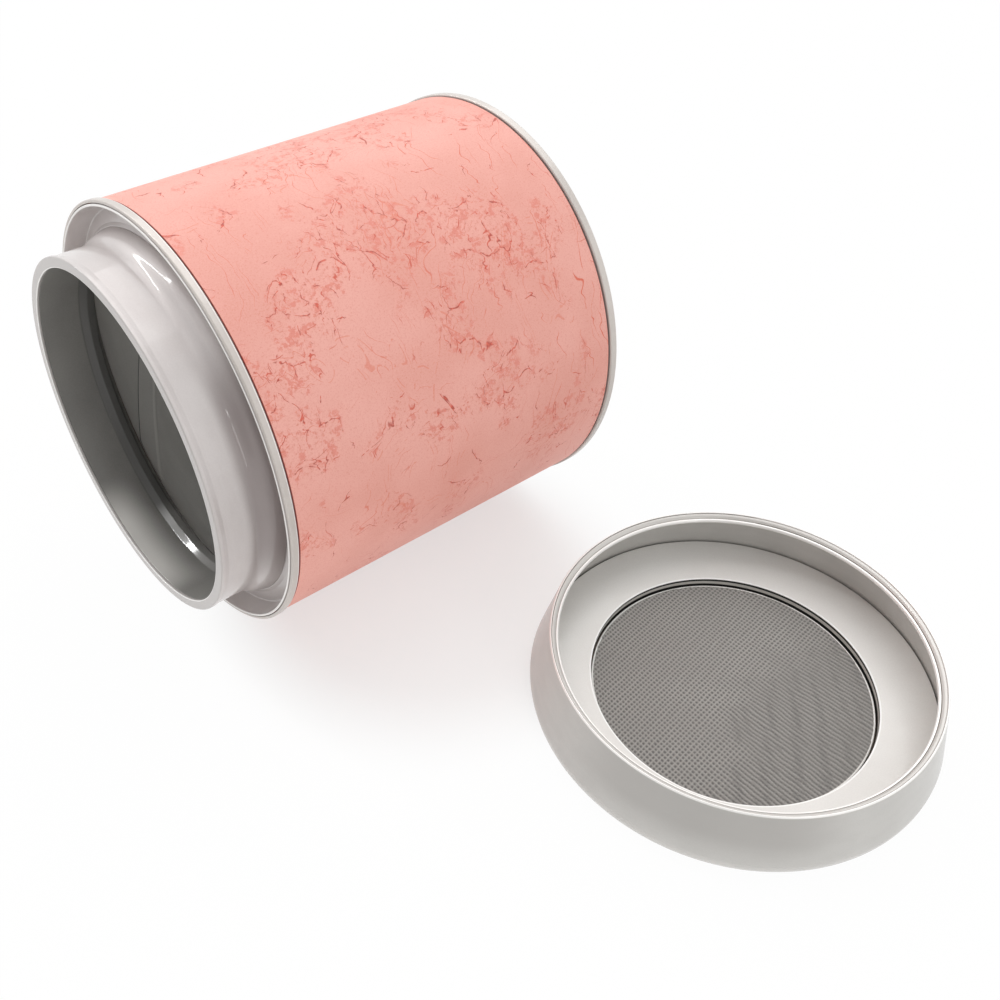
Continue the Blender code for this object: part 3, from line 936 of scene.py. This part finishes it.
def step_finish():
    """Warm light grey lacquer with faint clouds and a fine grain. The bore edge is near white, a
    painted highlight. The wall under it is a duller grey, and black close under the edge and down
    beside the pad: painted shade under the edge and in the gap round the pad."""
    metal = Finish(bpy.data.materials.new("step_ring_metal"))
    spot = metal.spot()
    height = metal.part(spot, "Z")
    radius = metal.from_line(spot, *LID_AXIS)
    clouds = metal.noise(spot, 0.06, 3.0, 0.5)
    grain = metal.noise(spot, 3.2, 2.0, 0.6)
    share = clouds.step(0.3, 0.7) * 0.6 + grain.step(0.25, 0.75) * 0.4
    base = metal.mix(share, colour(236, 234, 230), colour(227, 224, 220))
    # Painted highlight on the bore edge.
    bore_edge_highlight = radius.step(STEP_RING_BORE + 0.40, STEP_RING_BORE + 0.25)
    base = metal.mix(bore_edge_highlight, base, colour(255, 254, 252))
    # Painted shade: black close under the edge and down beside the pad.
    shade = height.step(GAP_SHADE_TOP, GAP_SHADE_TOP - 0.10)
    shade = shade + height.step(EDGE_SHADE_FOOT, EDGE_SHADE_FOOT + 0.08)
    wall = metal.mix(shade, colour(206, 204, 198), colour(*RECESS_SHADE))
    in_bore = height.step(STEP_RING_BORE_TOP - 0.20, STEP_RING_BORE_TOP - 0.26)
    in_bore = in_bore * radius.step(STEP_RING_BORE + 1.0, STEP_RING_BORE + 0.8)
    return metal.skin({
        "Base Color": metal.mix(in_bore, base, wall),
        "Metallic": 0.1,
        "Roughness": 0.40 + 0.10 * grain + 0.08 * clouds,
        "Coat Weight": 0.3,
        "Coat Roughness": 0.12,
        "Normal": metal.bump(grain, 0.006),
    })


rolled_step_ring = turned("rolled_step_ring", step_outline, on_lid, step_finish())
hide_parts("lid_step_ring")
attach(rolled_step_ring, "lid")


# Lid pad: a disc of grey artificial leather, sunk in the ring. Its embossed grain is two crossing
# families of threads, with pits between them, that fade into one family of ripples at one side.

PAD_RADIUS = 29.63
PAD_BOTTOM = 2.0
PAD_TOP = 3.0
PAD_EDGE = 0.20
PAD_RELIEF = 0.13
# How far in from the pad's edge its painted highlight reaches.
PAD_HIGHLIGHT_EDGE = 0.40
PAD_GRID = 300
FIRST_GAP = 0.92
SECOND_GAP = 0.86
# The relief value that marks the pad's edge for its painted highlight.
EDGE_HIGHLIGHT_MARK = 2.0


def drift(x, y, seed, size):
    """Smooth random drift: a sum of sine waves of random directions and phases, round size long."""
    draws = np.random.default_rng(seed)
    total = np.zeros_like(x)
    for _ in range(9):
        direction, phase = draws.uniform(0, 2 * np.pi, 2)
        wave = 2 * np.pi / (size * draws.uniform(0.7, 1.6))
        total += np.sin(wave * (x * np.cos(direction) + y * np.sin(direction)) + phase)
    return total / 3


def ease(value, low, high):
    """A smooth step from 0 at low to 1 at high."""
    share = np.clip((value - low) / (high - low), 0, 1)
    return share * share * (3 - 2 * share)


def crests(place, warp, gap, sharp):
    """Crests gap apart: the wave 0.5 + 0.5 * cos, raised to a power so that the crests are thin."""
    return (0.5 + 0.5 * np.cos(2 * np.pi * place / gap + warp)) ** sharp


def grain_height(x, y):
    """The grain's height, about 0 to 1. Two families of crests cross, one across X and one across
    Y, with a pit in each mesh: one minus the product of what each leaves. The second fades towards
    -Y, where the first goes on as ripples that waver and break off."""
    border = -2.5 - 11.5 * ease(-x, 1, 17) - 3 * ease(x, 12, 24)
    crossed = ease(y + 2.0 * drift(x, y, 7, 9.0), border - 6, border + 6)
    lean = x + 0.09 * y + 0.0030 * x * y
    wavers = 0.8 * drift(x / 4, y / 2, 3, 2.6) + 0.35 * drift(x / 1.5, y / 3, 4, 1.6)
    wavers *= 0.3 + 0.7 * (1 - crossed)
    first = crests(lean, wavers, FIRST_GAP, 1.0 + 0.6 * crossed)
    first = first * (1 - 0.25 * (1 - crossed)) + 0.16 * (1 - crossed)
    first *= 1 - 0.35 * (1 - crossed) * ease(drift(x * 1.4, y / 3, 9, 1.5), 0.2, 1.0)
    wavers = 0.35 * drift(x / 2, y, 5, 4.0) + 0.3 * drift(x / 2, y, 6, 1.5)
    second = crests(y - 0.13 * x, wavers, SECOND_GAP, 1.6) * (0.10 + 0.90 * crossed)
    return 1 - (1 - first) * (1 - second) + 0.10 * drift(x, y, 8, 0.5)


def grained_leather():
    """Grey artificial leather with fine pores. By the relief the pits are dark and the crests
    light:
    painted shade and painted highlight. The edge is near white where the relief's attribute holds
    the mark for it: a painted highlight."""
    leather = Finish(bpy.data.materials.new("grained_pad"))
    spot = leather.spot()
    raised = leather.node("ShaderNodeAttribute", {"attribute_name": "grain"}, {}, "Fac")
    clouds = leather.noise(spot, 0.07, 3.0, 0.5)
    pores = leather.noise(spot, 4.0, 2.0, 0.6)
    # Painted shade in the pits and painted highlight on the crests, by the relief.
    base = leather.mix(raised.step(0.0, 0.6), colour(92, 90, 88), colour(140, 137, 133))
    base = leather.mix(raised.step(0.55, 1.05) * 0.75, base, colour(176, 173, 168))
    base = leather.mix(clouds.step(0.35, 0.65) * 0.2, base, colour(130, 127, 123))
    # Painted highlight on the pad's edge.
    base = leather.mix(raised.step(EDGE_HIGHLIGHT_MARK - 0.5, EDGE_HIGHLIGHT_MARK - 0.1), base, colour(250, 248, 244))
    return leather.skin({
        "Base Color": leather.mix(pores.step(0.5, 0.75) * 0.15, base, colour(116, 113, 110)),
        "Roughness": 0.60 + 0.12 * pores,
        "Normal": leather.bump(pores, 0.02),
    })


def embossed_pad():
    """A square grid, bulged out to a disc by x = u * sqrt(1 - v * v / 2) and its mirror for y. The
    top is raised by the grain and rounded down at the edge, and a skirt falls from its rim."""
    steps = np.linspace(-1, 1, PAD_GRID + 1)
    u, v = np.meshgrid(steps, steps)
    x, y = u * np.sqrt(1 - v * v / 2) * PAD_RADIUS, v * np.sqrt(1 - u * u / 2) * PAD_RADIUS
    inside = PAD_RADIUS - np.hypot(x, y)
    height = grain_height(x, y)
    rounding = np.clip(PAD_EDGE - inside, 0, PAD_EDGE)
    edge = PAD_EDGE - np.sqrt(PAD_EDGE**2 - rounding**2)
    up = PAD_TOP - PAD_RELIEF * (1 - height) * ease(inside, 0.05, 0.5) - edge
    top = np.stack([LID_X + x, LID_Y + y, up], -1).reshape(-1, 3)
    across = PAD_GRID + 1
    rows, columns = (part.ravel() for part in np.mgrid[0:PAD_GRID, 0:PAD_GRID])
    corner = rows * across + columns
    quads = np.stack([corner, corner + 1, corner + across + 1, corner + across], -1)
    numbers = np.arange(across * across).reshape(across, across)
    rim = np.concatenate([numbers[0, :-1], numbers[:-1, -1], numbers[-1, :0:-1], numbers[:0:-1, 0]])
    foot = across * across + np.arange(len(rim))
    skirt = np.stack([rim, foot, np.roll(foot, -1), np.roll(rim, -1)], -1)
    points = np.concatenate([top, top[rim] * (1, 1, 0) + (0, 0, PAD_BOTTOM)])
    quads = np.concatenate([quads, skirt])
    uvs = points[quads][:, :, :2] - (LID_X, LID_Y)
    item = solid("leather_pad", points, quads, uvs, grained_leather())
    # The edge's points carry the mark for the painted highlight on the pad's edge.
    shown = np.where(inside < PAD_HIGHLIGHT_EDGE, EDGE_HIGHLIGHT_MARK, height)
    relief = np.concatenate([shown.ravel(), np.full(len(rim), 0.5)])
    item.data.attributes.new("grain", "FLOAT", "POINT").data.foreach_set("value", relief)
    return smooth(item, 60)


leather_pad = embossed_pad()
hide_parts("lid_pad")
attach(leather_pad, "lid")


# Studio: a white floor and surround, broad soft lights behind, above and on the lid's side, and two
# narrow strips that draw the bright lines on the neck and on the sleeve's bead.

FLOOR_HALF = 3.0
SHADOW_CENTRE = (-10, 15, 0)
SURROUND_LIGHT = 0.46
CAMERA_SIDE = (-0.60, -0.64, 0.48)
WHITE = (255, 255, 255)
STRIP_AWAY = 3.0


def seen(finish):
    """1 for what the camera, a reflection or a view through glass looks at, and 0 for light that
    falls on a surface."""
    rays = ("Is Camera Ray", "Is Glossy Ray", "Is Transmission Ray")
    camera, glossy, through = (finish.node("ShaderNodeLightPath", {}, {}, ray) for ray in rays)
    return (camera + glossy + through).step(0.0, 1.0)


# Whatever looks at the floor sees it near white, and less so near the object, whose shadow shows.
white_floor = Finish(bpy.data.materials.new("white_floor"))
speckle = white_floor.noise(white_floor.spot(), 0.4, 3.0, 0.6)
lit_tone = white_floor.mix(speckle.step(0.3, 0.7), colour(246, 245, 243), colour(242, 241, 239))
floor_tone = white_floor.mix(seen(white_floor), lit_tone, colour(250, 250, 249))
away = white_floor.from_line(white_floor.spot(), SHADOW_CENTRE, (1, 1, 0))
floor_glow = seen(white_floor) * (0.60 + 0.37 * away.step(30, 56))
matt = white_floor.node("ShaderNodeBsdfDiffuse", {}, {"Color": floor_tone})
glow = white_floor.node("ShaderNodeEmission", {}, {"Color": colour(*WHITE)})
shown = white_floor.node("ShaderNodeMixShader", {}, {0: floor_glow, 1: matt, 2: glow})
white_floor.node("ShaderNodeOutputMaterial", {}, {"Surface": shown})
floor_mesh = bpy.data.meshes.new("floor")
floor_sides = [(-1, -1), (1, -1), (1, 1), (-1, 1)]
floor_corners = [(FLOOR_HALF * x, FLOOR_HALF * y, 0) for x, y in floor_sides]
floor_mesh.from_pydata(floor_corners, [], [(0, 1, 2, 3)])
floor_mesh.materials.append(white_floor.owner)
floor = bpy.data.objects.new("floor", floor_mesh)
bpy.context.scene.collection.objects.link(floor)

# Whatever looks at the surround sees it white, but metal and gloss mirror a darker part of it on
# the camera's side.
surround = Finish(bpy.data.worlds.new("surround"))
towards = surround.node("ShaderNodeTexCoord", {}, {}, "Generated")
camera_side = surround.vector("DOT_PRODUCT", towards, CAMERA_SIDE, "Value").step(0.50, 0.90)
mirrored = surround.node("ShaderNodeLightPath", {}, {}, "Is Glossy Ray")
strength = SURROUND_LIGHT + (1 - SURROUND_LIGHT) * seen(surround) - mirrored * camera_side * 0.6
sockets = {"Color": colour(*WHITE), "Strength": strength}
surround_light = surround.node("ShaderNodeBackground", {}, sockets)
surround.node("ShaderNodeOutputWorld", {}, {"Surface": surround_light})
bpy.context.scene.world = surround.owner


def soft_light(name, towards, strength, spread):
    """A far lamp in that direction from the object, as wide as spread degrees."""
    lamp = bpy.data.lights.new(name, "SUN")
    lamp.energy = strength
    lamp.angle = math.radians(spread)
    item = bpy.data.objects.new(name, lamp)
    item.rotation_euler = Vector(towards).to_track_quat("Z", "Y").to_euler()
    bpy.context.scene.collection.objects.link(item)


def strip_light(name, towards, lean, power, width, length):
    """A narrow lamp in that direction. Its long side is square to the tube's axis, but for a lean
    in degrees."""
    lamp = bpy.data.lights.new(name, "AREA")
    lamp.shape = "RECTANGLE"
    lamp.size = width
    lamp.size_y = length
    lamp.energy = power
    back = Vector(towards).normalized()
    side = back.cross(Vector((-1, 0, 0))).normalized()
    side = Matrix.Rotation(math.radians(lean), 3, back) @ side
    item = bpy.data.objects.new(name, lamp)
    turn = Matrix((side.cross(back), side, back)).transposed()
    item.matrix_world = Matrix.Translation(back * STRIP_AWAY) @ turn.to_4x4()
    bpy.context.scene.collection.objects.link(item)


soft_light("back_light", (0.36, 0.45, 0.82), 1.00, 60)
soft_light("top_light", (-0.10, -0.10, 0.99), 0.32, 60)
soft_light("fill_light", (0.30, -0.93, 0.20), 0.52, 90)
soft_light("glint_light", (-0.20, -0.83, 0.51), 0.04, 5)
strip_light("key_strip", (-0.254, 0.719, 0.647), 10, 24, 0.15, 2.7)
strip_light("low_strip", (-0.20, -0.95, 0.22), 0, 4, 0.21, 1.4)


# Camera: above the mouth, looking down over the tube's near side at tube and lid. Its angles are in
# degrees, and its place is in metres.

CAMERA_PLACE = (-0.12432, -0.12352, 0.18973)
CAMERA_HEADING = -39.81
CAMERA_DOWN = 44.28
CAMERA_ROLL = 1.905

camera_data = bpy.data.cameras.new("camera")
camera_data.sensor_width = 36.0
camera_data.lens = 40.11
camera_data.shift_x = 0.0677
camera_data.shift_y = 0.0342
camera_data.clip_start = 0.01
camera = bpy.data.objects.new("camera", camera_data)
camera_turn = (
    Matrix.Rotation(math.radians(CAMERA_HEADING), 4, "Z")
    @ Matrix.Rotation(math.radians(90 - CAMERA_DOWN), 4, "X")
    @ Matrix.Rotation(math.radians(CAMERA_ROLL), 4, "Z")
)
camera.matrix_world = Matrix.Translation(CAMERA_PLACE) @ camera_turn
bpy.context.scene.collection.objects.link(camera)
bpy.context.scene.camera = camera
bpy.context.scene.view_settings.view_transform = "Standard"
